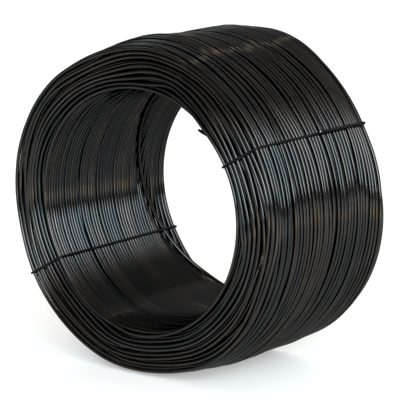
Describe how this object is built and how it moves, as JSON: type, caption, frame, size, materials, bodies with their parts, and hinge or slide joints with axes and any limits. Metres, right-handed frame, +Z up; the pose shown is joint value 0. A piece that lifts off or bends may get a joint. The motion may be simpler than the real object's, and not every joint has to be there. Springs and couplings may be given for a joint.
{
  "type": "coil of wire rod",
  "caption": "Layer-wound coil of dark steel wire rod lying on its round side, open through its bore and held by twisted tie wires.",
  "frame": {"origin": "centre of the bore, halfway along it", "axes": "+Y along the bore, away from the end that faces the viewer; +Z up; the coil lies on its round side on the floor at its lowest turns"},
  "size_m": [0.491, 0.2622, 0.491],
  "materials": {
    "rod_steel": "black annealed steel, satin to glossy along the turns",
    "tie_steel": "black annealed steel, satin"
  },
  "bodies": {
    "root": {"wire_coil": "rod_steel", "tie_wire_right": "tie_steel", "tie_wire_left": "tie_steel"}
  },
  "joints": []
}
